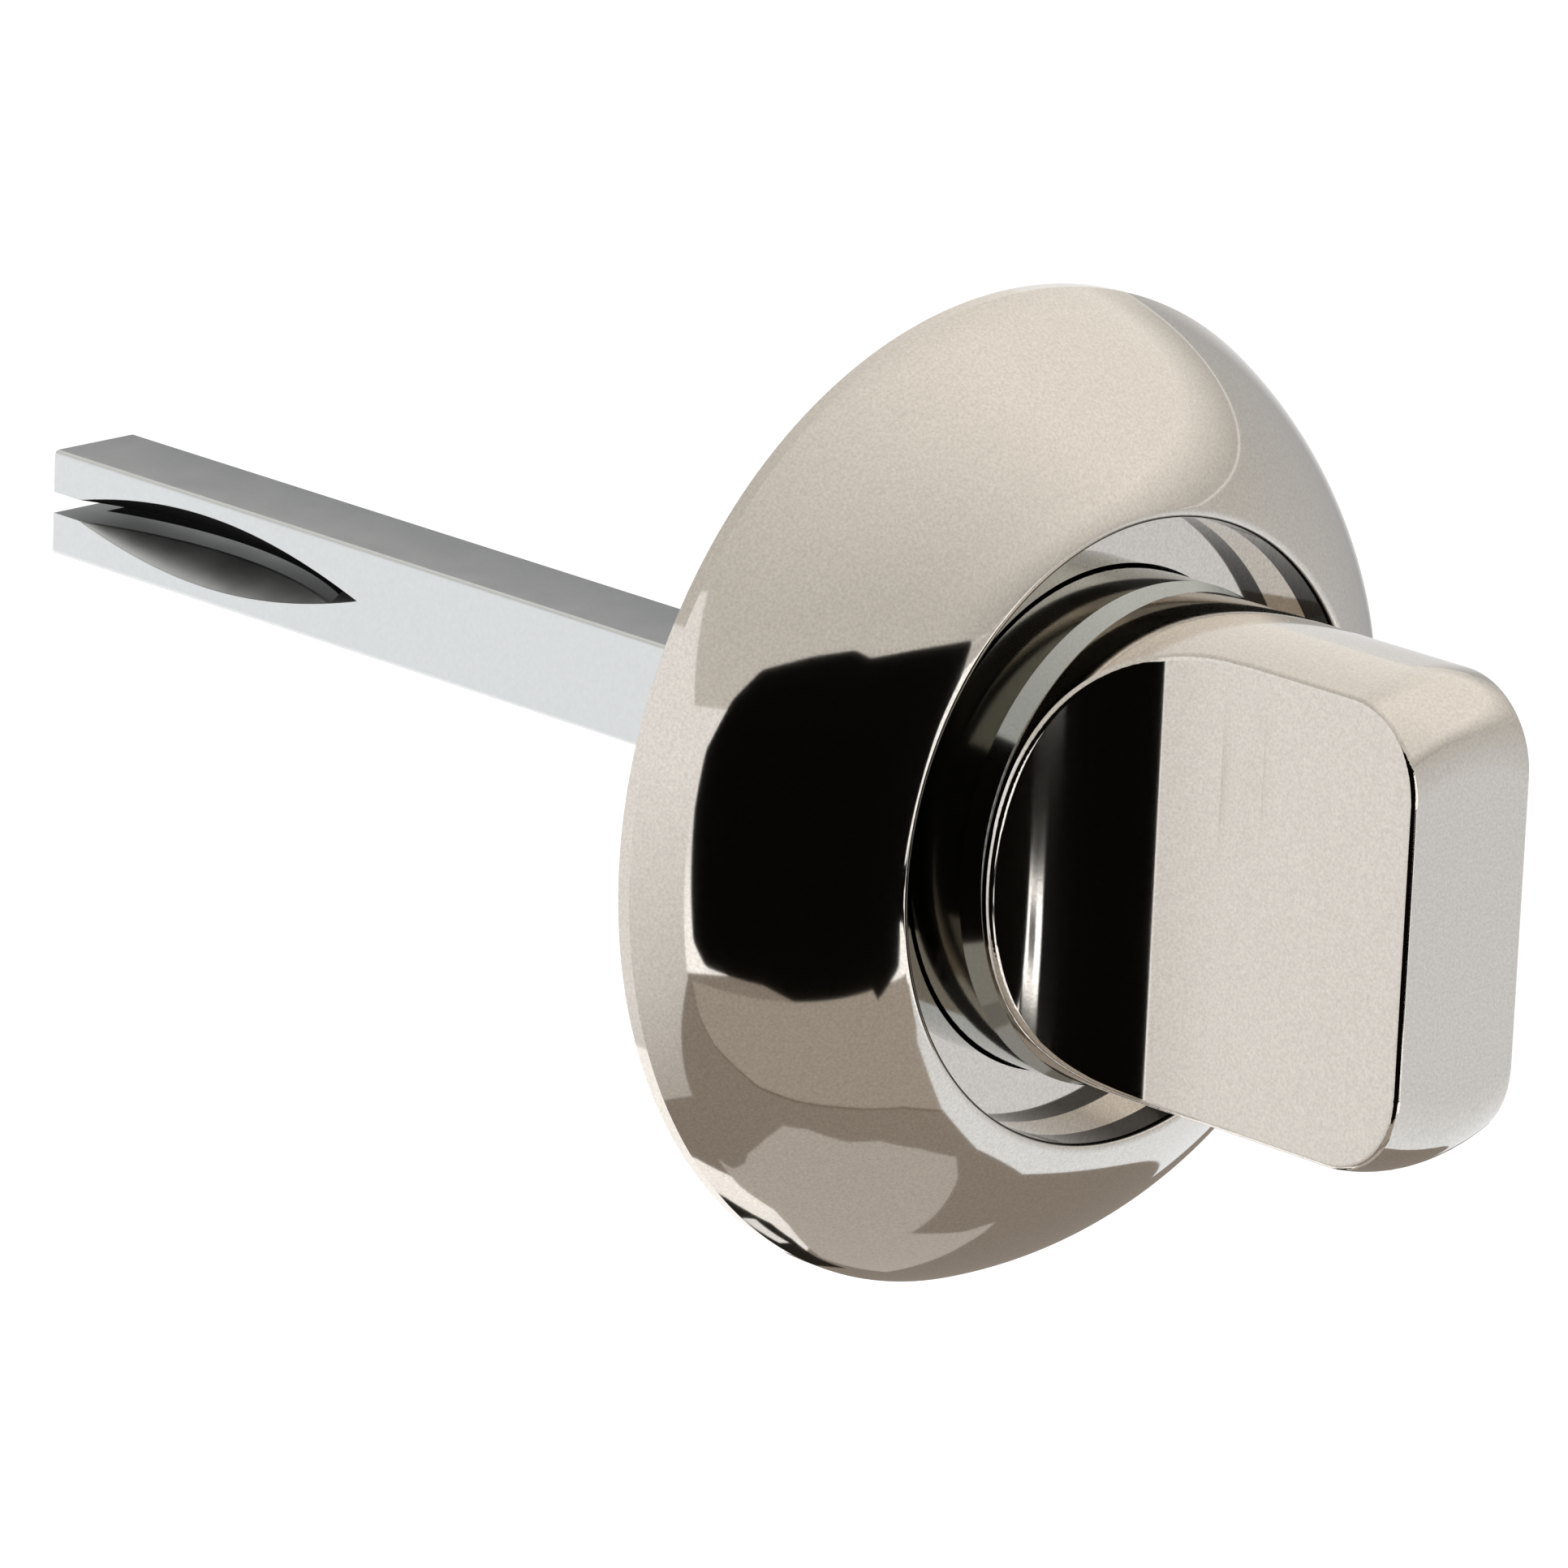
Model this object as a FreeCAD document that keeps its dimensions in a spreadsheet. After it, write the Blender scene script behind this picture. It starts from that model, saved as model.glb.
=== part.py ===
import FreeCAD, Part
import math
import os

import Sketcher

# Thumb turn half of a bathroom lock set: a domed round rose with a sunk neck, a cast turn
# that is scooped on both sides to leave a thick blade, and a split square spindle behind it.
# Each piece is drawn in its own front view: x to the right, y up, z out of the door.
# STAND then turns z to the front of the room (-Y) and y upright (+Z). z = 0 is the door.

# Driving dimensions in millimetres: name, value, what it is
SIZES = [
    ("rose_diameter", 53.0, "rose cover across its edge on the door"),
    ("rim_edge", 0.8, "straight edge of the cover next to the door"),
    ("dome_radius", 19.0, "radius of the dome's section"),
    ("crown_height", 11.0, "door to the lip round the recess"),
    ("cover_wall", 1.3, "wall of the cover"),
    ("rim_wall", 2.3, "thicker wall of the cover at the door"),
    ("recess_width", 3.2, "neck collar to the wall of the recess"),
    ("recess_depth", 3.5, "lip to the floor of the recess"),
    ("lip_round", 0.35, "rounding of the lip"),
    ("collar_wall", 1.88, "wall of the neck collar"),
    ("collar_rise", 1.0, "lip to the top of the neck collar"),
    ("collar_bevel", 0.9, "bevel of the collar's top edge"),
    ("collar_fit", 0.02, "gap between the collar and the plate's hub"),
    ("collar_clearance", 0.15, "gap between the collar and the cover's floor"),
    ("plate_clearance", 0.15, "gap between the base plate and the cover"),
    ("plate_step", 0.6, "washers' seat to the front face of the base plate"),
    ("plate_wall", 1.5, "front wall of the base plate over its hollow back"),
    ("plate_rim", 2.0, "rim of the base plate"),
    ("hub_wall", 2.8, "hub of the base plate round the bush"),
    ("ring_wall", 1.3, "wall round the hollow for the washers"),
    ("rib_width", 1.2, "ribs in the plate's hollow back"),
    ("screw_spacing", 38.0, "fixing holes, centre to centre"),
    ("screw_hole", 4.3, "fixing hole"),
    ("screw_head", 8.0, "countersink of a fixing hole"),
    ("boss_wall", 2.45, "wall of the boss round a fixing hole"),
    ("clip_wire", 1.2, "wire of the snap ring that holds the cover"),
    ("clip_height", 1.2, "door to the middle of the snap ring"),
    ("clip_clearance", 0.05, "gap between the snap ring and its grooves"),
    ("bush_wall", 1.55, "wall of the bearing bush"),
    ("bush_flange", 0.9, "flange of the bush, under the turn"),
    ("flange_clearance", 0.1, "gap between the flange and the collar"),
    ("run_clearance", 0.05, "running gap of the turn in its bush"),
    ("turn_gap", 0.3, "shadow gap between the collar and the turn"),
    ("shank_radius", 7.0, "shank of the turn"),
    ("shank_end", 0.25, "door to the end of the shank"),
    ("shank_tip", 0.44, "end of the shank to its groove"),
    ("knob_inset", 0.25, "round body of the turn inside the collar's outside"),
    ("rim_thickness", 0.75, "rim that the scoops leave at the turn's foot"),
    ("rim_ledge", 0.65, "flat of that rim in front of a scoop"),
    ("foot_round", 0.2, "rounding under that rim"),
    ("turn_height", 21.1, "foot of the turn to the end face of its blade"),
    ("blade_thickness", 8.8, "blade, flank to flank"),
    ("flank_sweep", 45.0, "radius that eases a scoop into the flat of the flank"),
    ("nose_radius", 4.5, "corners of the blade in side view"),
    ("edge_round", 0.35, "rounding of the edges that the scoops leave"),
    ("socket_rise", 3.2, "foot of the turn to the bottom of the square socket"),
    ("socket_clearance", 0.05, "gap on each side of the spindle in its socket"),
    ("spindle_side", 6.0, "spindle across its flats"),
    ("spindle_corner", 0.3, "rounding of the spindle's long edges"),
    ("spindle_gap", 0.3, "gap at the bottom of the socket"),
    ("spindle_reach", 70.0, "door to the spindle's split end"),
    ("slit_width", 1.2, "sawn slit in the spindle's end"),
    ("slit_length", 22.8, "length of that slit"),
    ("leaf_length", 25.0, "leaf-shaped cut over the slit, along the spindle"),
    ("leaf_width", 4.1, "widest part of the leaf on the spindle's face"),
    ("leaf_depth", 3.2, "depth of the leaf's vee"),
    ("pin_diameter", 2.0, "pin through shank and spindle"),
    ("pin_drop", 5.3, "foot of the turn to the pin"),
    ("pin_recess", 0.2, "each end of the pin below the shank's surface"),
    ("pin_clearance", 0.01, "gap round the pin"),
    ("washer_width", 3.1, "thrust washer, bore to edge"),
    ("washer_thickness", 0.5, "thrust washer"),
    ("washer_clearance", 0.1, "gap between the washers and the shank"),
    ("washer_room", 0.4, "gap round the thrust washer in its hollow"),
    ("spring_width", 2.5, "coned spring washer, bore to edge"),
    ("spring_thickness", 0.35, "coned spring washer"),
    ("spring_cone", 0.4, "height of its cone"),
    ("stack_gap", 0.03, "gap between the thrust washer and the spring"),
    ("ring_thickness", 0.8, "retaining ring"),
    ("ring_width", 2.77, "retaining ring, bore to edge"),
    ("groove_depth", 0.6, "groove for the retaining ring"),
    ("groove_clearance", 0.03, "gap between the retaining ring and its groove"),
    ("ring_opening", 5.0, "opening of the retaining ring"),
    ("lug_radius", 1.3, "lugs at that opening"),
    ("lug_hole", 0.9, "holes in the lugs"),
]
RIB_COUNT = 8
CLIP_OPENING = 16.0  # degrees left open in the snap ring
SWEEP_ANGLE = 3.5  # degrees that the easing of a scoop turns through
NEAR = 1e-3  # two points closer than this, in millimetres, count as one

STAND = FreeCAD.Placement(FreeCAD.Vector(0, 0, 0), FreeCAD.Rotation(FreeCAD.Vector(1, 0, 0), 90))

doc = FreeCAD.newDocument("thumb_turn_lock")
sheet = doc.addObject("Spreadsheet::Sheet", "Sizes")
for row, (alias, number, meaning) in enumerate(SIZES, start=1):
    sheet.set(f"A{row}", meaning)
    sheet.set(f"B{row}", str(number))
    sheet.setAlias(f"B{row}", alias)
doc.recompute()


class Size:
    """A length with its value now and the expression that keeps it tied to the sheet."""

    def __init__(self, value, text):
        self.value = value
        self.text = text

    def joined(self, other, sign, value):
        return Size(value, f"({self.text} {sign} {as_size(other).text})")

    def __add__(self, other):
        return self.joined(other, "+", self.value + as_size(other).value)

    def __sub__(self, other):
        return self.joined(other, "-", self.value - as_size(other).value)

    def __mul__(self, other):
        return self.joined(other, "*", self.value * as_size(other).value)

    def __truediv__(self, other):
        return self.joined(other, "/", self.value / as_size(other).value)

    def __neg__(self):
        return Size(-self.value, f"(0 - {self.text})")

    def root(self):
        return Size(math.sqrt(self.value), f"sqrt({self.text})")

    def leg(self, other):
        """Third side of a right triangle whose longest side is this length."""
        return (self * self - other * other).root()


def as_size(number):
    return number if isinstance(number, Size) else Size(float(number), str(float(number)))


def cell(alias):
    return Size(float(sheet.get(alias)), f"Sizes.{alias}")


def bind(feature, path, size):
    """Ties one property of a feature to the sheet."""
    feature.setExpression(path, size.text)


def new_body(label):
    body = doc.addObject("PartDesign::Body", label)
    body.Label = label
    body.Placement = STAND
    return body


def origin_plane(body, role):
    return next(feature for feature in body.Origin.OriginFeatures if feature.Role == role)


def new_sketch(body, name, plane, offset=None):
    """A sketch on one of the body's own origin planes, moved along its normal if asked."""
    sketch = body.newObject("Sketcher::SketchObject", name)
    sketch.AttachmentSupport = [(origin_plane(body, plane), "")]
    sketch.MapMode = "FlatFace"
    if offset is not None:
        bind(sketch, "AttachmentOffset.Base.z", offset)
    return sketch


def pin_point(sketch, edge, end, corner):
    """Holds a point of the sketch at a corner given as two sizes; a plain 0 puts it on the axis."""
    for kind, axis, size in (("DistanceX", -2, corner[0]), ("DistanceY", -1, corner[1])):
        if not isinstance(size, Size):
            sketch.addConstraint(Sketcher.Constraint("PointOnObject", edge, end, axis))
            continue
        index = sketch.addConstraint(Sketcher.Constraint(kind, -1, 1, edge, end, size.value))
        bind(sketch, f"Constraints[{index}]", size)


def hold_radius(sketch, edge, radius):
    index = sketch.addConstraint(Sketcher.Constraint("Radius", edge, radius.value))
    bind(sketch, f"Constraints[{index}]", radius)


def spot(corner):
    return FreeCAD.Vector(as_size(corner[0]).value, as_size(corner[1]).value, 0)


def short_arc(start, stop, radius):
    """The shorter arc that runs anticlockwise from start to stop."""
    chord = stop - start
    rise = math.sqrt(radius * radius - chord.Length * chord.Length / 4)
    left = FreeCAD.Vector(-chord.y, chord.x, 0) / chord.Length
    centre = (start + stop) / 2 + left * rise
    circle = Part.Circle(centre, FreeCAD.Vector(0, 0, 1), radius)
    angles = [math.atan2(point.y - centre.y, point.x - centre.x) for point in (start, stop)]
    return Part.ArcOfCircle(circle, *angles)


def draw_loop(sketch, loop):
    """Draws a closed outline. A corner is (across, up), or (across, up, radius, turn) where an
    arc leads to the next corner: turn is 1 for anticlockwise and -1 for clockwise."""
    first = sketch.GeometryCount
    ends = []
    for place, corner in enumerate(loop):
        here = spot(corner)
        there = spot(loop[(place + 1) % len(loop)])
        if len(corner) == 2:
            sketch.addGeometry(Part.LineSegment(here, there))
            ends.append((1, 2))
        elif corner[3] > 0:
            sketch.addGeometry(short_arc(here, there, corner[2].value))
            ends.append((1, 2))
        else:
            sketch.addGeometry(short_arc(there, here, corner[2].value))
            ends.append((2, 1))
    for place, corner in enumerate(loop):
        edge = first + place
        after = (place + 1) % len(loop)
        meeting = (edge, ends[place][1], first + after, ends[after][0])
        sketch.addConstraint(Sketcher.Constraint("Coincident", *meeting))
        pin_point(sketch, edge, ends[place][0], corner)
        if len(corner) == 4:
            hold_radius(sketch, edge, corner[2])


def draw_circle(sketch, centre, radius):
    edge = sketch.addGeometry(Part.Circle(spot(centre), FreeCAD.Vector(0, 0, 1), radius.value))
    pin_point(sketch, edge, 3, centre)
    hold_radius(sketch, edge, radius)


def box_loop(left, right, low, high):
    return [(left, low), (right, low), (right, high), (left, high)]


def must_change(body, before, name):
    """Stops the build if a cut or a pad did nothing."""
    doc.recompute()
    if abs(body.Shape.Volume - before) < NEAR:
        raise RuntimeError(f"{name} changed nothing")


def turned(body, name, loop, kind="Revolution"):
    """Turns an outline of (radius, height) corners about z: a solid, or a cut if kind is Groove."""
    sketch = new_sketch(body, f"{name}_section", "XZ_Plane")
    draw_loop(sketch, loop)
    before = body.Shape.Volume if body.Shape.Solids else 0
    feature = body.newObject(f"PartDesign::{kind}", name)
    feature.Profile = sketch
    feature.ReferenceAxis = (sketch, ["V_Axis"])
    feature.Angle = 360
    must_change(body, before, name)
    return feature


def ring(label, inner, outer, low, high):
    body = new_body(label)
    turned(body, f"{label}_ring", box_loop(inner, outer, low, high))
    return body


def cut_through(body, name, sketch):
    """Cuts a sketch right through the body, both ways from its plane."""
    before = body.Shape.Volume
    feature = body.newObject("PartDesign::Pocket", name)
    feature.Profile = sketch
    feature.Type = "ThroughAll"
    feature.Midplane = True
    must_change(body, before, name)
    return feature


def cut_forward(body, name, sketch, depth):
    """Cuts a sketch from its plane towards the front of the door."""
    before = body.Shape.Volume
    feature = body.newObject("PartDesign::Pocket", name)
    feature.Profile = sketch
    feature.Reversed = True
    bind(feature, "Length", depth)
    must_change(body, before, name)
    return feature


def pad_forward(body, name, sketch, height):
    """Raises a sketch from its plane towards the front of the door."""
    before = body.Shape.Volume if body.Shape.Solids else 0
    feature = body.newObject("PartDesign::Pad", name)
    feature.Profile = sketch
    bind(feature, "Length", height)
    must_change(body, before, name)
    return feature


def cut_round(body, name, sketch, axis):
    """Turns a sketch about one of its own edges to cut the body."""
    before = body.Shape.Volume
    feature = body.newObject("PartDesign::Groove", name)
    feature.Profile = sketch
    feature.ReferenceAxis = (sketch, [axis])
    feature.Angle = 360
    must_change(body, before, name)
    return feature


def repeat_across(body, name, feature):
    """Repeats a feature on the other side of the body."""
    before = body.Shape.Volume
    pair = body.newObject("PartDesign::Mirrored", name)
    pair.Originals = [feature]
    pair.MirrorPlane = (origin_plane(body, "YZ_Plane"), [""])
    body.Tip = pair
    must_change(body, before, name)


def edges_where(feature, test):
    """Names of the edges of a feature's shape that pass a test."""
    return [f"Edge{place}" for place, edge in enumerate(feature.Shape.Edges, start=1) if test(edge)]


def dress(body, kind, name, base, edges, path, size):
    """Rounds or bevels named edges of the last feature."""
    before = body.Shape.Volume
    feature = body.newObject(f"PartDesign::{kind}", name)
    feature.Base = (base, edges)
    bind(feature, path, size)
    must_change(body, before, name)
    return feature


def is_circle(edge, radius, height):
    """True for an edge round the z axis with this radius at this height."""
    curve = edge.Curve
    if not isinstance(curve, Part.Circle):
        return False
    off_axis = math.hypot(curve.Center.x, curve.Center.y)
    off_height = abs(curve.Center.z - height.value)
    return max(off_axis, off_height, abs(curve.Radius - radius.value)) < NEAR


# Sizes that more than one piece takes part in, from the spindle outwards
spindle_half = cell("spindle_side") / 2
socket_half = spindle_half + cell("socket_clearance")
pin_hole = cell("pin_diameter") / 2 + cell("pin_clearance")
shank_radius = cell("shank_radius")
groove_radius = shank_radius - cell("groove_depth")
ring_bore = groove_radius + cell("groove_clearance")
washer_bore = shank_radius + cell("washer_clearance")
washer_radius = washer_bore + cell("washer_width")
ring_room = washer_radius + cell("washer_room")
bush_bore = shank_radius + cell("run_clearance")
bush_radius = bush_bore + cell("bush_wall")
hub_radius = bush_radius + cell("hub_wall")
collar_bore = hub_radius + cell("collar_fit")
collar_radius = collar_bore + cell("collar_wall")
knob_radius = collar_radius - cell("knob_inset")
recess_radius = collar_radius + cell("recess_width")
rose_radius = cell("rose_diameter") / 2
cover_bore = rose_radius - cell("rim_wall")
plate_radius = cover_bore - cell("plate_clearance")
clip_radius = (cover_bore + plate_radius) / 2
clip_half = cell("clip_wire") / 2 + cell("clip_clearance")

# Heights above the door, from the end of the shank to the end face of the blade
groove_low = cell("shank_end") + cell("shank_tip")
ring_low = groove_low + cell("groove_clearance")
spring_low = ring_low + cell("ring_thickness")
groove_high = spring_low + cell("groove_clearance")
spring_high = spring_low + cell("spring_cone") + cell("spring_thickness")
washer_low = spring_high + cell("stack_gap")
washer_seat = washer_low + cell("washer_thickness")
plate_front = washer_seat + cell("plate_step")
clip_top = cell("clip_height") + clip_half
clip_bottom = cell("clip_height") - clip_half
recess_floor = cell("crown_height") - cell("recess_depth")
collar_top = cell("crown_height") + cell("collar_rise")
turn_foot = collar_top + cell("turn_gap")
flange_top = turn_foot - cell("run_clearance")
hub_height = flange_top - cell("bush_flange")
rim_top = turn_foot + cell("rim_thickness")
socket_top = turn_foot + cell("socket_rise")
pin_height = turn_foot - cell("pin_drop")
turn_reach = turn_foot + cell("turn_height")

# Centre of the dome's arc, from the ends of its chord
dome_run = rose_radius - recess_radius
dome_rise = cell("crown_height") - cell("rim_edge")
dome_chord = (dome_run * dome_run + dome_rise * dome_rise).root()
dome_depth = cell("dome_radius").leg(dome_chord / 2)
dome_across = (rose_radius + recess_radius) / 2 - dome_depth * dome_rise / dome_chord
dome_up = (cell("crown_height") + cell("rim_edge")) / 2 - dome_depth * dome_run / dome_chord
inner_dome = cell("dome_radius") - cell("cover_wall")


def make_rose_cover():
    """Domed shell with a sunk floor; its thick edge snaps over the base plate."""
    body = new_body("rose_cover")
    inner_wall = recess_radius + cell("cover_wall")
    floor_hole = collar_radius + cell("collar_clearance")
    floor_under = recess_floor - cell("cover_wall")
    groove = clip_radius + clip_half

    def inner_height(radius):
        return dome_up + inner_dome.leg(radius - dome_across)

    outline = [
        (cover_bore, 0),
        (rose_radius, 0),
        (rose_radius, cell("rim_edge"), cell("dome_radius"), 1),
        (recess_radius, cell("crown_height")),
        (recess_radius, recess_floor),
        (floor_hole, recess_floor),
        (floor_hole, floor_under),
        (inner_wall, floor_under),
        (inner_wall, inner_height(inner_wall), inner_dome, -1),
        (cover_bore, inner_height(cover_bore)),
        (cover_bore, clip_top),
        (groove, clip_top),
        (groove, clip_bottom),
        (cover_bore, clip_bottom),
    ]
    shell = turned(body, "cover_shell", outline)
    lip = edges_where(shell, lambda edge: is_circle(edge, recess_radius, cell("crown_height")))
    dress(body, "Fillet", "cover_lip", shell, lip, "Radius", cell("lip_round"))
    return body


def make_base_plate():
    """Cast plate under the cover: hub for the bush and collar, hollow ribbed back, two screw holes."""
    body = new_body("base_plate")
    outline = [
        (bush_radius, washer_seat),
        (ring_room, washer_seat),
        (ring_room, 0),
        (plate_radius, 0),
        (plate_radius, plate_front),
        (hub_radius, plate_front),
        (hub_radius, hub_height),
        (bush_radius, hub_height),
    ]
    turned(body, "plate_disc", outline)

    hollow_inside = ring_room + cell("ring_wall")
    hollow_outside = plate_radius - cell("plate_rim")
    hollow_depth = plate_front - cell("plate_wall")
    channel = new_sketch(body, "plate_hollow_outline", "XY_Plane")
    draw_circle(channel, (0, 0), hollow_inside)
    draw_circle(channel, (0, 0), hollow_outside)
    cut_forward(body, "plate_hollow", channel, hollow_depth)

    rib = new_sketch(body, "rib_outline", "XY_Plane")
    rib_half = cell("rib_width") / 2
    rib_start = hollow_inside - cell("ring_wall") / 2
    rib_stop = hollow_outside + cell("plate_rim") / 2
    inside_height = hollow_depth + cell("plate_wall") / 2
    draw_loop(rib, box_loop(-rib_half, rib_half, rib_start, rib_stop))
    first_rib = pad_forward(body, "rib", rib, inside_height)
    ribs = body.newObject("PartDesign::PolarPattern", "ribs")
    ribs.Originals = [first_rib]
    ribs.Axis = (rib, ["N_Axis"])
    ribs.Angle = 360
    ribs.Occurrences = RIB_COUNT
    body.Tip = ribs
    doc.recompute()

    screw_radius = cell("screw_hole") / 2
    boss_radius = screw_radius + cell("boss_wall")
    bosses = new_sketch(body, "boss_outline", "XY_Plane")
    holes = new_sketch(body, "screw_hole_outline", "XY_Plane")
    for side in (-1, 1):
        centre = (cell("screw_spacing") / 2 * side, 0)
        draw_circle(bosses, centre, boss_radius)
        draw_circle(holes, centre, screw_radius)
    pad_forward(body, "screw_bosses", bosses, inside_height)
    # The edge is turned after the bosses, so that none of them stands past it or meets the dome
    under_dome = inner_dome - cell("plate_clearance")
    edge_height = dome_up + under_dome.leg(plate_radius - dome_across)
    front_radius = dome_across + under_dome.leg(plate_front - dome_up)
    groove = clip_radius - clip_half
    outside = rose_radius + boss_radius
    edge = [
        (plate_radius, 0),
        (outside, 0),
        (outside, plate_front),
        (front_radius, plate_front),
        (plate_radius, edge_height),
        (plate_radius, clip_top),
        (groove, clip_top),
        (groove, clip_bottom),
        (plate_radius, clip_bottom),
    ]
    turned(body, "plate_edge", edge, "Groove")
    cut_through(body, "screw_holes", holes)

    sink = cell("screw_head") / 2
    hole_across = cell("screw_spacing") / 2
    cone = new_sketch(body, "countersink_outline", "XZ_Plane")
    cone_top = (hole_across + sink, plate_front)
    draw_loop(cone, [(hole_across, plate_front - sink), cone_top, (hole_across, plate_front)])
    countersink = cut_round(body, "countersink", cone, "Edge3")
    repeat_across(body, "countersink_pair", countersink)
    return body


def make_neck_collar():
    """Turned ring on the hub, seen in the recess as the neck under the turn."""
    body = new_body("neck_collar")
    edge = cell("collar_bevel")
    outline = [
        (collar_bore, plate_front),
        (collar_radius, plate_front),
        (collar_radius, collar_top - edge),
        (collar_radius - edge, collar_top),
        (collar_bore, collar_top),
    ]
    turned(body, "collar_ring", outline)
    return body


def make_bearing_bush():
    """Flanged plastic bush: the shank runs in it and the turn's foot rides on its flange."""
    body = new_body("bearing_bush")
    flange = hub_radius - cell("flange_clearance")
    outline = [
        (bush_bore, washer_seat),
        (bush_radius, washer_seat),
        (bush_radius, hub_height),
        (flange, hub_height),
        (flange, flange_top),
        (bush_bore, flange_top),
    ]
    turned(body, "bush_section", outline)
    return body


def make_thumb_turn():
    """Cast turn: shank, rim and round body in one, scooped on both sides to leave the blade."""
    body = new_body("thumb_turn")
    nose = cell("nose_radius")
    foot = cell("foot_round")
    outline = [
        (0, cell("shank_end")),
        (shank_radius, cell("shank_end")),
        (shank_radius, groove_low),
        (groove_radius, groove_low),
        (groove_radius, groove_high),
        (shank_radius, groove_high),
        (shank_radius, turn_foot),
        (knob_radius - foot, turn_foot, foot, 1),
        (knob_radius, turn_foot + foot),
        (knob_radius, turn_reach - nose, nose, 1),
        (knob_radius - nose, turn_reach),
        (0, turn_reach),
    ]
    blank = turned(body, "turn_blank", outline)

    flank = cell("blade_thickness") / 2
    # Each scoop is a cove at the rim and a wide sweep that runs out into the flat of the flank
    sweep = cell("flank_sweep")
    lean = math.sin(math.radians(SWEEP_ANGLE))
    upright = math.cos(math.radians(SWEEP_ANGLE))
    swell = sweep * (1 - upright)
    cove = (knob_radius - cell("rim_ledge") - flank - swell) / upright
    cove_across = knob_radius - cell("rim_ledge")
    cove_up = rim_top + cove
    sweep_up = cove_up + (sweep - cove) * lean
    clear = knob_radius + cove
    beyond = turn_reach + cove
    scoops = new_sketch(body, "scoop_outline", "XZ_Plane")
    for side in (-1, 1):
        scoop = [
            (flank * side, sweep_up, sweep, side),
            ((flank + swell) * side, cove_up - cove * lean, cove, side),
            (cove_across * side, rim_top),
            (clear * side, rim_top),
            (clear * side, beyond),
            (flank * side, beyond),
        ]
        draw_loop(scoops, scoop)
    scooped = cut_through(body, "scoops", scoops)

    def is_scoop_edge(edge):
        """Edges where a scoop meets the outside of the blank; the seams inside a scoop are smooth."""
        middle = edge.valueAt((edge.FirstParameter + edge.LastParameter) / 2)
        across = abs(middle.x)
        up = middle.z
        if up > sweep_up.value:
            off_scoop = abs(across - flank.value)
        elif across > cove_across.value:
            off_scoop = abs(up - rim_top.value)
        elif up > (cove_up - cove * lean).value:
            off_sweep = math.hypot(across - (flank + sweep).value, up - sweep_up.value)
            off_scoop = abs(off_sweep - sweep.value)
        else:
            off_scoop = abs(math.hypot(across - cove_across.value, up - cove_up.value) - cove.value)
        if off_scoop > NEAR:
            return False
        return blank.Shape.Shells[0].distToShape(Part.Vertex(middle))[0] < NEAR

    edges = edges_where(scooped, is_scoop_edge)
    dress(body, "Fillet", "blade_edges", scooped, edges, "Radius", cell("edge_round"))

    socket = new_sketch(body, "socket_outline", "XY_Plane")
    draw_loop(socket, box_loop(-socket_half, socket_half, -socket_half, socket_half))
    cut_forward(body, "socket", socket, socket_top)

    cross_hole = new_sketch(body, "cross_hole_outline", "XZ_Plane")
    draw_circle(cross_hole, (0, pin_height), pin_hole)
    cut_through(body, "cross_hole", cross_hole)
    return body


def make_spindle():
    """Square bar; its far end is sawn through and has a vee-shaped leaf cut on its left side."""
    body = new_body("spindle")
    reach = cell("spindle_reach")
    square = new_sketch(body, "bar_outline", "XY_Plane", -reach)
    corner = cell("spindle_corner")
    flat = spindle_half - corner
    bar = [
        (-flat, -spindle_half),
        (flat, -spindle_half, corner, 1),
        (spindle_half, -flat),
        (spindle_half, flat, corner, 1),
        (flat, spindle_half),
        (-flat, spindle_half, corner, 1),
        (-spindle_half, flat),
        (-spindle_half, -flat, corner, 1),
    ]
    draw_loop(square, bar)
    pad_forward(body, "bar", square, reach + socket_top - cell("spindle_gap"))

    slit = new_sketch(body, "slit_outline", "YZ_Plane")
    slit_half = cell("slit_width") / 2
    slit_start = -reach - cell("slit_width")
    draw_loop(slit, box_loop(-slit_half, slit_half, slit_start, cell("slit_length") - reach))
    cut_through(body, "slit", slit)

    # A wheel with a vee rim, on an upright axis, sinks into the face and leaves a leaf
    half_length = cell("leaf_length") / 2
    depth = cell("leaf_depth")
    wheel = (half_length * half_length + depth * depth) / (depth * 2)
    slope = cell("leaf_width") / 2 / depth
    apex = depth - spindle_half
    axis = apex - wheel
    vee = new_sketch(body, "leaf_outline", "XY_Plane", half_length - reach)
    width = slope * wheel
    draw_loop(vee, [(apex, 0), (axis, width), (axis, -width)])
    cut_round(body, "leaf", vee, "Edge2")

    cross_hole = new_sketch(body, "pin_hole_outline", "XZ_Plane")
    draw_circle(cross_hole, (0, pin_height), pin_hole)
    cut_through(body, "pin_hole", cross_hole)
    return body


def make_spindle_pin():
    """Upright pin that keeps the spindle in the shank; the bush keeps the pin in."""
    pin = doc.addObject("Part::Cylinder", "spindle_pin")
    half = shank_radius - cell("pin_recess")
    bind(pin, "Radius", cell("pin_diameter") / 2)
    bind(pin, "Height", half * 2)
    bind(pin, "Placement.Base.y", -pin_height)
    bind(pin, "Placement.Base.z", -half)
    return pin


def make_spring_washer():
    """Coned spring washer that keeps the turn's foot against the flange of the bush."""
    body = new_body("spring_washer")
    thick = cell("spring_thickness")
    spring_radius = washer_bore + cell("spring_width")
    outline = [
        (washer_bore, spring_low),
        (spring_radius, spring_high - thick),
        (spring_radius, spring_high),
        (washer_bore, spring_low + thick),
    ]
    turned(body, "spring_cone_section", outline)
    return body


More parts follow.
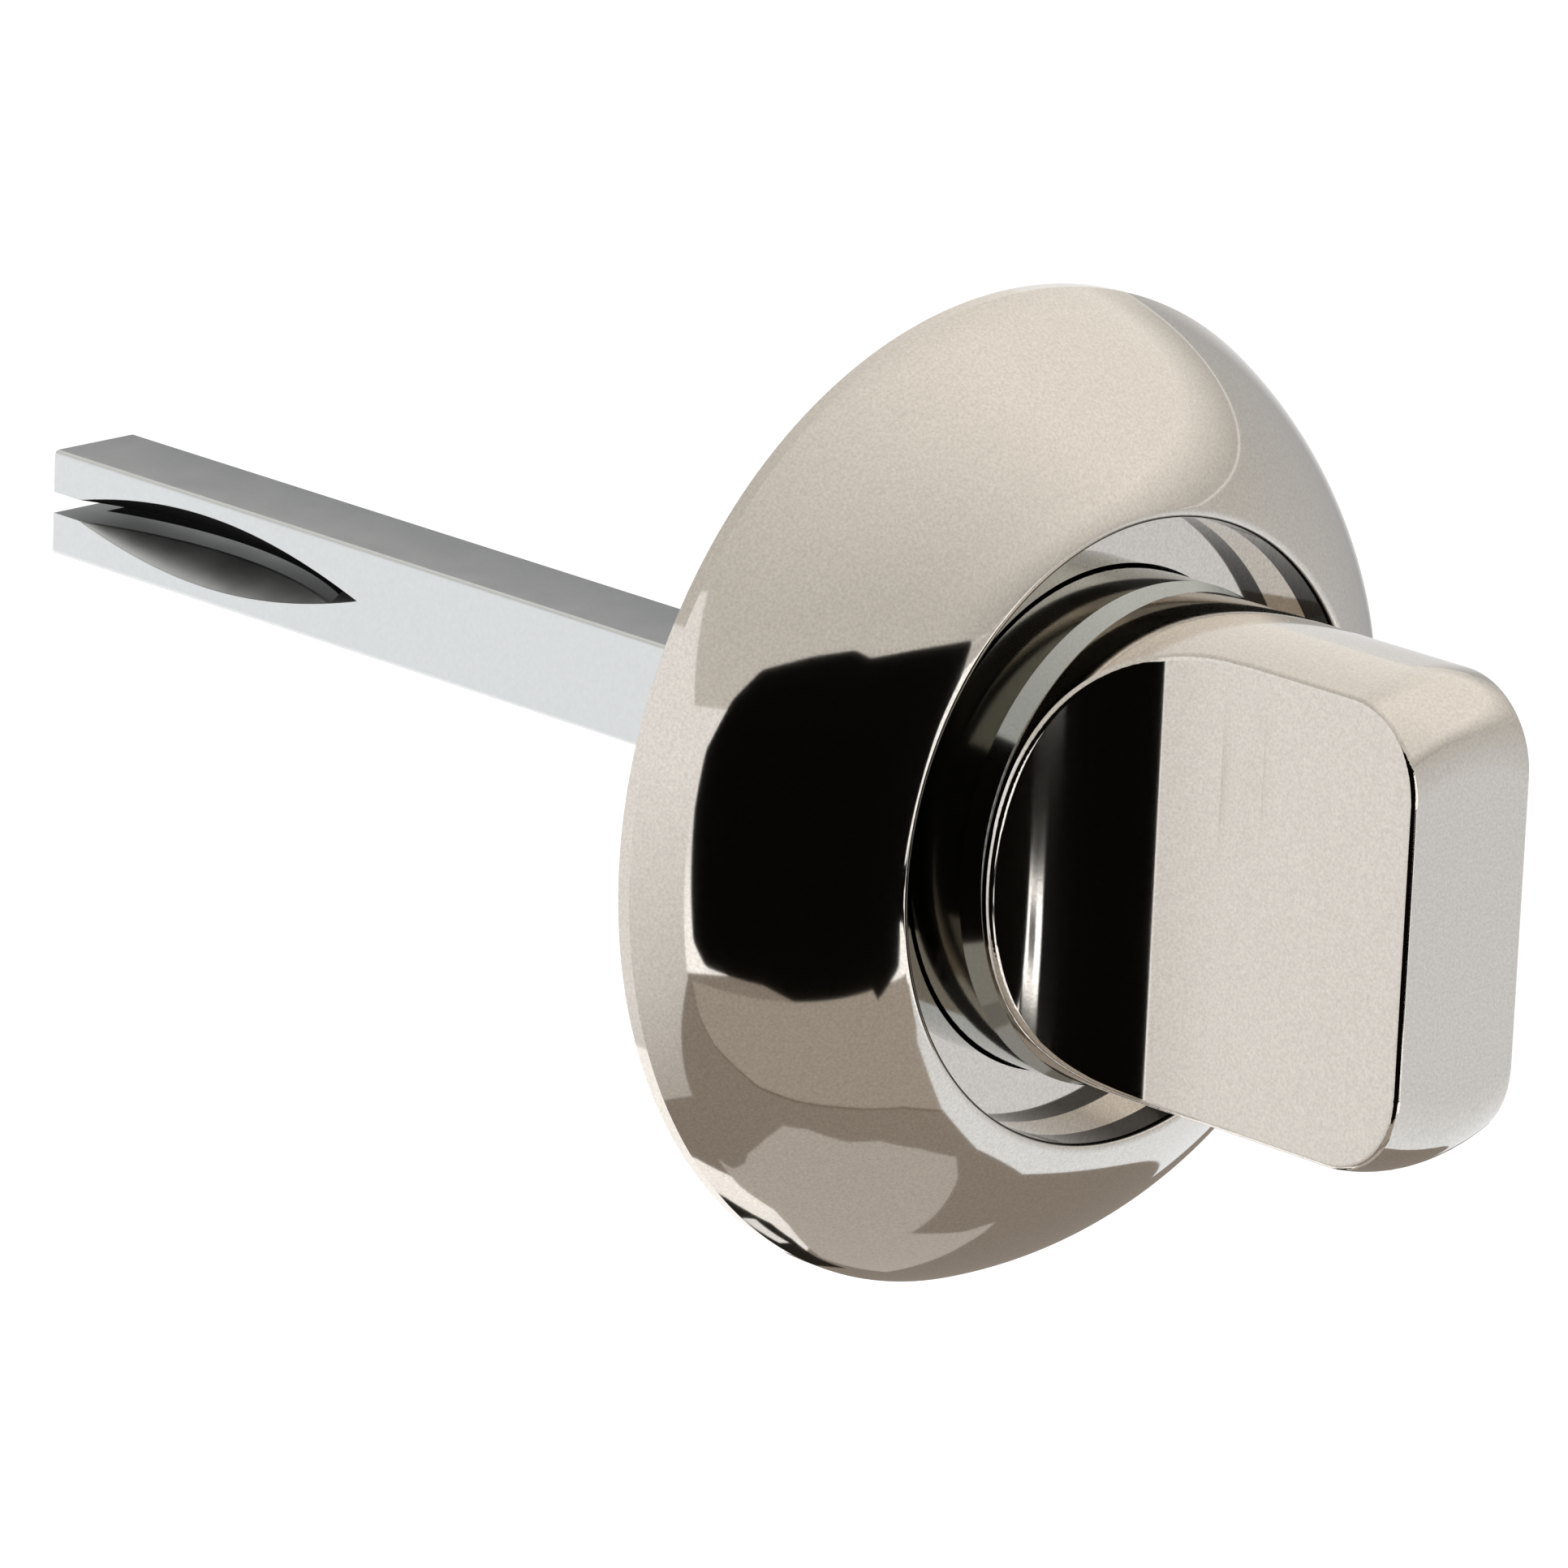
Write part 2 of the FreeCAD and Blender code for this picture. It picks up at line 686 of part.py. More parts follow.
def make_retaining_ring():
    """Open ring with two drilled lugs, sprung into the shank's groove."""
    body = new_body("retaining_ring")
    ring_radius = ring_bore + cell("ring_width")
    turned(body, "ring_section", box_loop(ring_bore, ring_radius, ring_low, spring_low))

    lug_across = cell("ring_opening") / 2 + cell("lug_radius")
    lug_down = ring_radius - cell("lug_radius")
    lugs = new_sketch(body, "lug_outline", "XY_Plane", ring_low)
    opening = new_sketch(body, "opening_outline", "XY_Plane")
    holes = new_sketch(body, "lug_hole_outline", "XY_Plane")
    for side in (-1, 1):
        draw_circle(lugs, (lug_across * side, -lug_down), cell("lug_radius"))
        draw_circle(holes, (lug_across * side, -lug_down), cell("lug_hole") / 2)
    half_opening = cell("ring_opening") / 2
    draw_loop(opening, box_loop(-half_opening, half_opening, -ring_radius * 2, -ring_bore / 2))
    pad_forward(body, "lugs", lugs, cell("ring_thickness"))
    cut_through(body, "opening", opening)
    cut_through(body, "lug_holes", holes)
    return body


def make_snap_ring():
    """Open wire ring, half in the plate's groove and half in the cover's."""
    wire = doc.addObject("Part::Torus", "snap_ring")
    wire.Placement = STAND
    wire.Angle3 = 360 - CLIP_OPENING
    bind(wire, "Radius1", clip_radius)
    bind(wire, "Radius2", cell("clip_wire") / 2)
    bind(wire, "Placement.Base.y", -cell("clip_height"))
    return wire


pieces = [
    make_rose_cover(),
    make_base_plate(),
    make_neck_collar(),
    make_bearing_bush(),
    make_thumb_turn(),
    make_spindle(),
    make_spindle_pin(),
    ring("thrust_washer", washer_bore, washer_radius, washer_low, washer_seat),
    make_spring_washer(),
    make_retaining_ring(),
    make_snap_ring(),
]
doc.recompute()

for thing in doc.Objects:
    if "Invalid" in thing.State or "Error" in thing.State:
        raise RuntimeError(f"{thing.Label} did not build: {thing.State}")
os.makedirs("parts", exist_ok=True)
for piece in pieces:
    if piece.Shape.isNull() or not piece.Shape.isValid():
        raise RuntimeError(f"{piece.Label} has no valid shape")
    piece.Shape.exportStep(f"parts/{piece.Label}.step")
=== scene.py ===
"""Looks of a bathroom thumb turn on a round rose: polished nickel, chrome neck, plated spindle."""

import math

import bmesh
import bpy
from bpy.props import FloatProperty, FloatVectorProperty, PointerProperty
from mathutils import Matrix, Vector


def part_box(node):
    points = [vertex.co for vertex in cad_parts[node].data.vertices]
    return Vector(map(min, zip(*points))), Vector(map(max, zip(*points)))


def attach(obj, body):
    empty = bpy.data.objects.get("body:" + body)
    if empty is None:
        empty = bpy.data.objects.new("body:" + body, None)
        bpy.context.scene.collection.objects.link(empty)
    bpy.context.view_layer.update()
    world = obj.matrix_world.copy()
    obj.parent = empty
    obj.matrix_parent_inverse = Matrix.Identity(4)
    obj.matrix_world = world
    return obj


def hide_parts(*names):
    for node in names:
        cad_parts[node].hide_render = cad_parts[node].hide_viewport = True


bl_info = {
    "name": "Bathroom thumb turn",
    "version": (1, 0, 0),
    "blender": (4, 5, 0),
    "location": "3D View > Sidebar > Thumb turn",
    "description": "Dresses a thumb turn and its rose in polished metal on a plain studio stage",
    "category": "Object",
}

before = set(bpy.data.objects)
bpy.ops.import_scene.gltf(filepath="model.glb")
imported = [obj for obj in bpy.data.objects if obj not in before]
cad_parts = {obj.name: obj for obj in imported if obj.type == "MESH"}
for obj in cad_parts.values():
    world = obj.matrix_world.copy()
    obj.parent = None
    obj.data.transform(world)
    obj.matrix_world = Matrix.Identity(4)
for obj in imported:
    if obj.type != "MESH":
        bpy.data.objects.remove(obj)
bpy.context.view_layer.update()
# A length beyond the object in every direction, for masks with an open side
FAR_OFF = 1.0
# Half the width over which a mask fades, and room between a mask and a face that it leaves alone
SOFT_EDGE = 3e-5
FACE_ROOM = 1e-4
# Points nearer than this are one, and edges that turn more than this are shaded as sharp
SAME_PLACE = 1e-7
SHARP = math.radians(15)
# Steps of the dome's arc, of the smaller arcs of the cover's section and of a full turn
DOME_STEPS = 72
ARC_STEPS = 24
TURN_STEPS = 256
# Painted shade under the lip, as shares of the lip's rounding and of the recess's depth, and its colour
# level
SHADE_BAND_START = 0.8
SHADE_BAND_STOP = 0.62
SHADE_BAND_LEVEL = 0.03
# Levels of painted shade on the slit's lower wall, painted light on the leaf below it, painted black where
# unlit
SLIT_SHADE_LEVEL = 0.6
PAINTED_LIGHT_LEVEL = 1.3
UNLIT_LEVEL = 0.01
# Surfaces of the bright nickel and of the plated steel
POLISHED = {"spread": 0.03, "grain_scale": 6500.0, "grain_amount": 0.42, "cloud_scale": 160.0, "wave": 4e-7}
PLATED = {
    "roughness": 0.34,
    "spread": 0.12,
    "grain_scale": 4200.0,
    "grain_amount": 0.10,
    "cloud_scale": 420.0,
    "wave": 2e-6,
}
# Attribute that carries the tone of a studio panel, and tones that several panels have
TONE = "tone"
BLACK = (0.003, 0.0025, 0.002)
WHITE = (1.0, 1.0, 1.0)
# Steps of a curved panel, across and up, and of the rounding of a cut panel's corner
PANEL_STEPS = (48, 24)
CORNER_STEPS = 5
# Width of the camera's sensor in millimetres, and the nearest and farthest that it sees
SENSOR = 36.0
CLIP = (0.01, 50.0)
# Half the floor's side, its grey and the glow that makes it white to the camera
FLOOR_HALF = 6.0
FLOOR_GREY = 0.9
FLOOR_GLOW = 0.5
# Level of the world as fill light
FILL_LEVEL = 0.6


# Sizes and colours that a user may change
class FinishSettings(bpy.types.PropertyGroup):
    """Colours of the metals and of the bush."""

    nickel: FloatVectorProperty(
        name="Nickel",
        description="Polished nickel of the rose and the turn",
        subtype="COLOR",
        min=0.0,
        max=1.0,
        default=(0.71, 0.665, 0.61),
    )
    chrome: FloatVectorProperty(
        name="Chrome",
        description="Polished chrome of the neck collar",
        subtype="COLOR",
        min=0.0,
        max=1.0,
        default=(0.41, 0.425, 0.405),
    )
    steel: FloatVectorProperty(
        name="Plated steel",
        description="Zinc plated steel of the spindle and the washer",
        subtype="COLOR",
        min=0.0,
        max=1.0,
        default=(0.71, 0.73, 0.735),
    )
    spring: FloatVectorProperty(
        name="Spring steel",
        description="Oiled spring steel of the rings and the pin",
        subtype="COLOR",
        min=0.0,
        max=1.0,
        default=(0.30, 0.30, 0.31),
    )
    zinc: FloatVectorProperty(
        name="Zinc casting",
        description="Raw casting of the base plate",
        subtype="COLOR",
        min=0.0,
        max=1.0,
        default=(0.42, 0.43, 0.44),
    )
    acetal: FloatVectorProperty(
        name="Acetal",
        description="White plastic of the bearing bush",
        subtype="COLOR",
        min=0.0,
        max=1.0,
        default=(0.78, 0.77, 0.73),
    )


class RoseSettings(bpy.types.PropertyGroup):
    """Section of the rose cover."""

    diameter: FloatProperty(
        name="Diameter", description="Rose across its edge on the door", unit="LENGTH", default=0.053
    )
    rim_edge: FloatProperty(
        name="Rim edge", description="Straight edge next to the door", unit="LENGTH", default=0.0008
    )
    dome_radius: FloatProperty(
        name="Dome radius", description="Radius of the dome's section", unit="LENGTH", default=0.019
    )
    crown: FloatProperty(
        name="Crown", description="Door to the lip of the recess", unit="LENGTH", default=0.011
    )
    recess_radius: FloatProperty(
        name="Recess radius", description="Wall of the recess", unit="LENGTH", default=0.0165
    )
    recess_depth: FloatProperty(
        name="Recess depth", description="Lip to the floor of the recess", unit="LENGTH", default=0.0035
    )
    lip_round: FloatProperty(
        name="Lip rounding", description="Rounding of the lip", unit="LENGTH", default=0.00035
    )
    wall: FloatProperty(
        name="Wall", description="Wall of the cover", unit="LENGTH", default=0.0013
    )
    rim_wall: FloatProperty(
        name="Rim wall", description="Thicker wall at the door", unit="LENGTH", default=0.0023
    )
    floor_hole: FloatProperty(
        name="Floor hole",
        description="Radius of the hole that the neck stands in",
        unit="LENGTH",
        default=0.01345,
    )
    clip_low: FloatProperty(
        name="Clip groove low",
        description="Door to the groove for the snap ring",
        unit="LENGTH",
        default=0.00055,
    )
    clip_high: FloatProperty(
        name="Clip groove high",
        description="Door to the far side of that groove",
        unit="LENGTH",
        default=0.00185,
    )
    clip_radius: FloatProperty(
        name="Clip groove radius", description="Bottom of that groove", unit="LENGTH", default=0.024775
    )


class SpindleSettings(bpy.types.PropertyGroup):
    """Cuts in the spindle's end, as its solid has them, and how far light gets into them."""

    leaf_length: FloatProperty(
        name="Leaf length", description="Leaf-shaped cut along the spindle", unit="LENGTH", default=0.025
    )
    leaf_width: FloatProperty(
        name="Leaf width", description="Widest part of the leaf", unit="LENGTH", default=0.0041
    )
    leaf_depth: FloatProperty(
        name="Leaf depth", description="Depth of the leaf's vee", unit="LENGTH", default=0.0032
    )
    slit_length: FloatProperty(
        name="Slit length", description="Sawn slit along the spindle", unit="LENGTH", default=0.0228
    )
    slit_width: FloatProperty(
        name="Slit width", description="Width of that slit", unit="LENGTH", default=0.0012
    )
    lit_depth: FloatProperty(
        name="Lit depth", description="Lit part of the slit's lower wall", unit="LENGTH", default=0.002
    )
    lit_end: FloatProperty(
        name="Lit end", description="Stretch that is lit through the open end", unit="LENGTH", default=0.0015
    )


class StageSettings(bpy.types.PropertyGroup):
    """Camera, floor and studio panels."""

    azimuth: FloatProperty(
        name="Azimuth",
        description="Camera round the object; zero faces the rose",
        subtype="ANGLE",
        default=math.radians(-46.35),
    )
    elevation: FloatProperty(
        name="Elevation",
        description="Camera above the middle of the rose",
        subtype="ANGLE",
        default=math.radians(16.66),
    )
    roll: FloatProperty(
        name="Roll",
        description="Camera turned about its own axis",
        subtype="ANGLE",
        default=math.radians(2.72),
    )
    distance: FloatProperty(
        name="Distance", description="Camera from the middle of the rose", unit="LENGTH", default=0.6
    )
    aim_across: FloatProperty(
        name="Aim across",
        description="Point that the camera looks at, to the right of the rose's middle",
        unit="LENGTH",
        default=-0.01053,
    )
    field: FloatProperty(
        name="Field", description="Width of the picture at the rose", unit="LENGTH", default=0.08135
    )
    floor_drop: FloatProperty(
        name="Floor drop", description="Floor below the middle of the rose", unit="LENGTH", default=0.33
    )
    reach: FloatProperty(
        name="Panel reach",
        description="Farthest studio panels from the middle of the rose",
        unit="LENGTH",
        default=0.3,
    )


# Node helpers
def add_node(tree, kind, **values):
    """Adds a node; a value sets a property of that name or else the input socket of that name."""
    node = tree.nodes.new(kind)
    for name, value in values.items():
        if hasattr(node, name):
            setattr(node, name, value)
        else:
            node.inputs[name.replace("_", " ")].default_value = value
    return node


def new_group(name, inputs, outputs):
    """An empty shader node group with float or vector sockets."""
    group = bpy.data.node_groups.new(name, "ShaderNodeTree")
    for title, kind in inputs:
        group.interface.new_socket(name=title, in_out="INPUT", socket_type=kind)
    for title, kind in outputs:
        group.interface.new_socket(name=title, in_out="OUTPUT", socket_type=kind)
    entry = group.nodes.new("NodeGroupInput")
    leave = group.nodes.new("NodeGroupOutput")
    return group, entry, leave


def polish_group():
    """Fine grain, clouding and waviness that any metal surface has."""
    name = "metal_surface"
    if name in bpy.data.node_groups:
        return bpy.data.node_groups[name]
    number = "NodeSocketFloat"
    inputs = [
        ("Vector", "NodeSocketVector"),
        ("Grain Scale", number),
        ("Grain Amount", number),
        ("Cloud Scale", number),
        ("Roughness", number),
        ("Roughness Spread", number),
    ]
    outputs = [("Level", number), ("Roughness", number), ("Height", number)]
    group, entry, leave = new_group(name, inputs, outputs)
    grain = add_node(group, "ShaderNodeTexNoise", Detail=1.0)
    cloud = add_node(group, "ShaderNodeTexNoise", Detail=4.0)
    group.links.new(entry.outputs["Vector"], grain.inputs["Vector"])
    group.links.new(entry.outputs["Grain Scale"], grain.inputs["Scale"])
    group.links.new(entry.outputs["Vector"], cloud.inputs["Vector"])
    group.links.new(entry.outputs["Cloud Scale"], cloud.inputs["Scale"])

    def spread(source, amount, middle):
        """middle + (source - half) * amount"""
        centred = add_node(group, "ShaderNodeMath", operation="SUBTRACT")
        centred.inputs[1].default_value = 0.5
        scaled = add_node(group, "ShaderNodeMath", operation="MULTIPLY_ADD")
        group.links.new(source, centred.inputs[0])
        group.links.new(centred.outputs[0], scaled.inputs[0])
        group.links.new(amount, scaled.inputs[1])
        if isinstance(middle, float):
            scaled.inputs[2].default_value = middle
        else:
            group.links.new(middle, scaled.inputs[2])
        return scaled.outputs[0]

    level = spread(grain.outputs["Fac"], entry.outputs["Grain Amount"], 1.0)
    rough = spread(cloud.outputs["Fac"], entry.outputs["Roughness Spread"], entry.outputs["Roughness"])
    group.links.new(level, leave.inputs["Level"])
    group.links.new(rough, leave.inputs["Roughness"])
    group.links.new(cloud.outputs["Fac"], leave.inputs["Height"])
    return group


def box_group():
    """Mask that is one between two corners and ends within a hair of them."""
    name = "box_mask"
    if name in bpy.data.node_groups:
        return bpy.data.node_groups[name]
    vector = "NodeSocketVector"
    inputs = [("Vector", vector), ("Low", vector), ("High", vector)]
    group, entry, leave = new_group(name, inputs, [("Mask", "NodeSocketFloat")])
    above = add_node(group, "ShaderNodeVectorMath", operation="SUBTRACT")
    below = add_node(group, "ShaderNodeVectorMath", operation="SUBTRACT")
    nearest = add_node(group, "ShaderNodeVectorMath", operation="MINIMUM")
    parts = add_node(group, "ShaderNodeSeparateXYZ")
    first = add_node(group, "ShaderNodeMath", operation="MINIMUM")
    second = add_node(group, "ShaderNodeMath", operation="MINIMUM")
    mask = add_node(group, "ShaderNodeMapRange", interpolation_type="SMOOTHSTEP")
    mask.inputs["From Min"].default_value = -SOFT_EDGE
    mask.inputs["From Max"].default_value = SOFT_EDGE
    link = group.links.new
    link(entry.outputs["Vector"], above.inputs[0])
    link(entry.outputs["Low"], above.inputs[1])
    link(entry.outputs["High"], below.inputs[0])
    link(entry.outputs["Vector"], below.inputs[1])
    link(above.outputs["Vector"], nearest.inputs[0])
    link(below.outputs["Vector"], nearest.inputs[1])
    link(nearest.outputs["Vector"], parts.inputs["Vector"])
    link(parts.outputs["X"], first.inputs[0])
    link(parts.outputs["Y"], first.inputs[1])
    link(first.outputs[0], second.inputs[0])
    link(parts.outputs["Z"], second.inputs[1])
    link(second.outputs[0], mask.inputs["Value"])
    link(mask.outputs["Result"], leave.inputs["Mask"])
    return group


def metal(name, colour, roughness, spread, grain_scale, grain_amount, cloud_scale, wave, metallic=1.0):
    """A metal or plastic with grain in its colour, clouded roughness and slight waviness."""
    material = bpy.data.materials.new(name)
    material.use_nodes = True
    tree = material.node_tree
    shader = tree.nodes["Principled BSDF"]
    shader.inputs["Metallic"].default_value = metallic
    place = add_node(tree, "ShaderNodeTexCoord")
    surface = add_node(tree, "ShaderNodeGroup", node_tree=polish_group())
    surface.inputs["Grain Scale"].default_value = grain_scale
    surface.inputs["Grain Amount"].default_value = grain_amount
    surface.inputs["Cloud Scale"].default_value = cloud_scale
    surface.inputs["Roughness"].default_value = roughness
    surface.inputs["Roughness Spread"].default_value = spread
    tint = add_node(tree, "ShaderNodeMix", data_type="RGBA", blend_type="MULTIPLY")
    tint.inputs["Factor"].default_value = 1.0
    tint.inputs["A"].default_value = (*colour, 1.0)
    bump = add_node(tree, "ShaderNodeBump")
    bump.inputs["Strength"].default_value = 1.0
    bump.inputs["Distance"].default_value = wave
    tree.links.new(place.outputs["Object"], surface.inputs["Vector"])
    tree.links.new(surface.outputs["Level"], tint.inputs["B"])
    tree.links.new(tint.outputs["Result"], shader.inputs["Base Color"])
    tree.links.new(surface.outputs["Roughness"], shader.inputs["Roughness"])
    tree.links.new(surface.outputs["Height"], bump.inputs["Height"])
    tree.links.new(bump.outputs["Normal"], shader.inputs["Normal"])
    return material


def object_place(material):
    """Object coordinates of a material."""
    return add_node(material.node_tree, "ShaderNodeTexCoord").outputs["Object"]


def polar_place(material, centre, across):
    """Object coordinates as (distance from an axis through the centre, y, z).

    Across is nothing along that axis and one in the other two directions.
    """
    tree = material.node_tree
    place = object_place(material)
    moved = add_node(tree, "ShaderNodeVectorMath", operation="SUBTRACT")
    moved.inputs[1].default_value = centre
    flat = add_node(tree, "ShaderNodeVectorMath", operation="MULTIPLY")
    flat.inputs[1].default_value = across
    radius = add_node(tree, "ShaderNodeVectorMath", operation="LENGTH")
    parts = add_node(tree, "ShaderNodeSeparateXYZ")
    joined = add_node(tree, "ShaderNodeCombineXYZ")
    tree.links.new(place, moved.inputs[0])
    tree.links.new(moved.outputs["Vector"], flat.inputs[0])
    tree.links.new(flat.outputs["Vector"], radius.inputs[0])
    tree.links.new(place, parts.inputs["Vector"])
    tree.links.new(radius.outputs["Value"], joined.inputs["X"])
    tree.links.new(parts.outputs["Y"], joined.inputs["Y"])
    tree.links.new(parts.outputs["Z"], joined.inputs["Z"])
    return joined.outputs["Vector"]


def darken(material, place, low, high, level, matt=False):
    """Multiplies a material's colour by a level between two corners, and takes the gloss there if asked."""
    tree = material.node_tree
    shader = tree.nodes["Principled BSDF"]
    source = shader.inputs["Base Color"].links[0].from_socket
    mask = add_node(tree, "ShaderNodeGroup", node_tree=box_group())
    mask.inputs["Low"].default_value = low
    mask.inputs["High"].default_value = high
    dark = add_node(tree, "ShaderNodeMix", data_type="RGBA", blend_type="MULTIPLY")
    dark.inputs["B"].default_value = (level, level, level, 1.0)
    tree.links.new(place, mask.inputs["Vector"])
    tree.links.new(mask.outputs["Mask"], dark.inputs["Factor"])
    tree.links.new(source, dark.inputs["A"])
    tree.links.new(dark.outputs["Result"], shader.inputs["Base Color"])
    if matt:
        rough = add_node(tree, "ShaderNodeMath", operation="MAXIMUM")
        tree.links.new(shader.inputs["Roughness"].links[0].from_socket, rough.inputs[0])
        tree.links.new(mask.outputs["Mask"], rough.inputs[1])
        tree.links.new(rough.outputs[0], shader.inputs["Roughness"])


def add_mesh(name, shape, material):
    """Turns a finished bmesh into an object at the origin."""
    mesh = bpy.data.meshes.new(name)
    shape.to_mesh(mesh)
    shape.free()
    mesh.materials.append(material)
    piece = bpy.data.objects.new(name, mesh)
    bpy.context.scene.collection.objects.link(piece)
    return piece


def dress(node, material):
    """Gives a solid of the frame its finish."""
    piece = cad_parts[node]
    piece.data.materials.clear()
    piece.data.materials.append(material)


# Rose cover
def arc(centre, radius, start, stop, steps):
    """Points of an arc in a section, angles measured from straight out."""
    points = []
    for step in range(steps + 1):
        angle = start + (stop - start) * step / steps
        points.append((centre[0] + radius * math.cos(angle), centre[1] + radius * math.sin(angle)))
    return points


def angle_at(centre, point):
    """Angle of a point of a section seen from a centre."""
    return math.atan2(point[1] - centre[1], point[0] - centre[0])


def rose_section(rose):
    """Closed outline of the cover as (radius, height above the door)."""
    edge = rose.diameter / 2
    bore = edge - rose.rim_wall
    floor = rose.crown - rose.recess_depth
    # Centre of the dome's arc, from the ends of its chord
    run, rise = edge - rose.recess_radius, rose.crown - rose.rim_edge
    chord = math.hypot(run, rise)
    depth = math.sqrt(rose.dome_radius ** 2 - chord ** 2 / 4)
    middle = (
        (edge + rose.recess_radius) / 2 - depth * rise / chord,
        (rose.crown + rose.rim_edge) / 2 - depth * run / chord,
    )
    # The lip's rounding touches the dome from inside and the wall of the recess
    across = rose.recess_radius + rose.lip_round
    above = math.sqrt((rose.dome_radius - rose.lip_round) ** 2 - (across - middle[0]) ** 2)
    lip = (across, middle[1] + above)
    touch = angle_at(middle, lip)
    inner = rose.dome_radius - rose.wall
    inner_wall = rose.recess_radius + rose.wall
    inner_start = math.acos((inner_wall - middle[0]) / inner)
    inner_stop = math.acos((bore - middle[0]) / inner)
    outline = [(bore, 0.0), (edge, 0.0)]
    outline += arc(middle, rose.dome_radius, angle_at(middle, (edge, rose.rim_edge)), touch, DOME_STEPS)
    outline += arc(lip, rose.lip_round, touch, math.pi, ARC_STEPS)[1:]
    outline += [(rose.recess_radius, floor), (rose.floor_hole, floor)]
    outline += [(rose.floor_hole, floor - rose.wall), (inner_wall, floor - rose.wall)]
    outline += arc(middle, inner, inner_start, inner_stop, ARC_STEPS)
    outline += [(bore, rose.clip_high), (rose.clip_radius, rose.clip_high)]
    outline += [(rose.clip_radius, rose.clip_low), (bore, rose.clip_low)]
    return outline


def lathe(outline):
    """Spins a closed outline of (radius, height) about the axis of the turn."""
    shape = bmesh.new()
    ring = [shape.verts.new((radius, -height, 0.0)) for radius, height in outline]
    edges = [shape.edges.new((ring[place - 1], ring[place])) for place in range(len(ring))]
    bmesh.ops.spin(
        shape,
        geom=ring + edges,
        cent=(0.0, 0.0, 0.0),
        axis=(0.0, 1.0, 0.0),
        angle=2 * math.pi,
        steps=TURN_STEPS,
        use_merge=True,
    )
    bmesh.ops.remove_doubles(shape, verts=list(shape.verts), dist=SAME_PLACE)
    bmesh.ops.recalc_face_normals(shape, faces=list(shape.faces))
    for face in shape.faces:
        face.smooth = True
    for edge in shape.edges:
        edge.smooth = edge.calc_face_angle(math.pi) < SHARP
    return shape


class TURNLOCK_OT_rose(bpy.types.Operator):
    """Domed rose cover in polished nickel, with painted shade under the lip of its recess"""

    bl_idname = "turnlock.rose"
    bl_label = "Rose cover"

    def execute(self, context):
        finish = context.scene.turnlock_finish
        rose = context.scene.turnlock_rose
        nickel = metal("rose_nickel", finish.nickel, roughness=0.05, **POLISHED)
        # Painted shade: a dark band on the recess wall just under the lip
        start = rose.crown - rose.lip_round * SHADE_BAND_START
        stop = rose.crown - rose.recess_depth * SHADE_BAND_STOP
        inner = (rose.recess_radius - FACE_ROOM, -start, -FAR_OFF)
        outer = (rose.recess_radius + FACE_ROOM, -stop, FAR_OFF)
        place = polar_place(nickel, (0.0, 0.0, 0.0), (1.0, 0.0, 1.0))
        darken(nickel, place, inner, outer, SHADE_BAND_LEVEL)
        cover = add_mesh("rose_dome", lathe(rose_section(rose)), nickel)
        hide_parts("rose_cover")
        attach(cover, "rose")
        return {"FINISHED"}


class TURNLOCK_OT_turn(bpy.types.Operator):
    """Polished nickel for the turn"""

    bl_idname = "turnlock.turn"
    bl_label = "Turn"

    def execute(self, context):
        finish = context.scene.turnlock_finish
        nickel = metal("turn_nickel", finish.nickel, roughness=0.065, **POLISHED)
        dress("thumb_turn", nickel)
        return {"FINISHED"}


class TURNLOCK_OT_collar(bpy.types.Operator):
    """Polished chrome for the neck collar"""

    bl_idname = "turnlock.collar"
    bl_label = "Neck collar"

    def execute(self, context):
        finish = context.scene.turnlock_finish
        chrome = metal(
            "polished_chrome",
            finish.chrome,
            roughness=0.08,
            spread=0.03,
            grain_scale=6500.0,
            grain_amount=0.2,
            cloud_scale=200.0,
            wave=2e-7,
        )
        dress("neck_collar", chrome)
        return {"FINISHED"}


def shade_cuts(bar, cuts):
    """Painted shade and light in the spindle's cuts: black above, grey on the slit's lower wall, lighter
    below it.
    """
    side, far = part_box("spindle")[1].xy
    hair = 2 * SOFT_EDGE
    inside = side - hair
    near = far - cuts.leaf_length + hair
    end = far - FACE_ROOM
    wall = -cuts.slit_width / 2 - hair
    top = cuts.leaf_width / 2 + FACE_ROOM
    place = object_place(bar)
    # Painted shade on the slit's lower wall and black painted shade above the slit
    darken(bar, place, (-inside, near, wall), (inside, end, 0.0), SLIT_SHADE_LEVEL)
    # Painted light: the leaf's wall below the slit, which faces up, made brighter than the plated steel
    darken(bar, place, (-inside, near, -top), (inside, end, wall), PAINTED_LIGHT_LEVEL)
    darken(bar, place, (-inside, near, 0.0), (inside, end, top), UNLIT_LEVEL, matt=True)
    # The leaf's cutter was a wheel with a vee rim; beyond the arc of its upper edge the lower wall gets
    # black painted shade
    wheel = (cuts.leaf_length ** 2 / 4 + cuts.leaf_depth ** 2) / (2 * cuts.leaf_depth)
    slope = cuts.leaf_width / 2 / cuts.leaf_depth
    upper_edge = wheel - cuts.slit_width / 2 / slope
    across = cuts.leaf_depth - side - wheel + cuts.lit_depth
    along = far - cuts.leaf_length / 2 + cuts.lit_depth
    place = polar_place(bar, (across, along, 0.0), (1.0, 1.0, 0.0))
    low = (upper_edge, far - cuts.slit_length, wall)
    high = (FAR_OFF, far - cuts.lit_end, 0.0)
    darken(bar, place, low, high, UNLIT_LEVEL, matt=True)


class TURNLOCK_OT_spindle(bpy.types.Operator):
    """Zinc plated steel for the spindle, with painted shade and light in its cuts, and for the thrust washer
    """

    bl_idname = "turnlock.spindle"
    bl_label = "Spindle"

    def execute(self, context):
        finish = context.scene.turnlock_finish
        dress("thrust_washer", metal("plated_steel", finish.steel, **PLATED))
        bar = metal("spindle_steel", finish.steel, **PLATED)
        shade_cuts(bar, context.scene.turnlock_spindle)
        dress("spindle", bar)
        return {"FINISHED"}


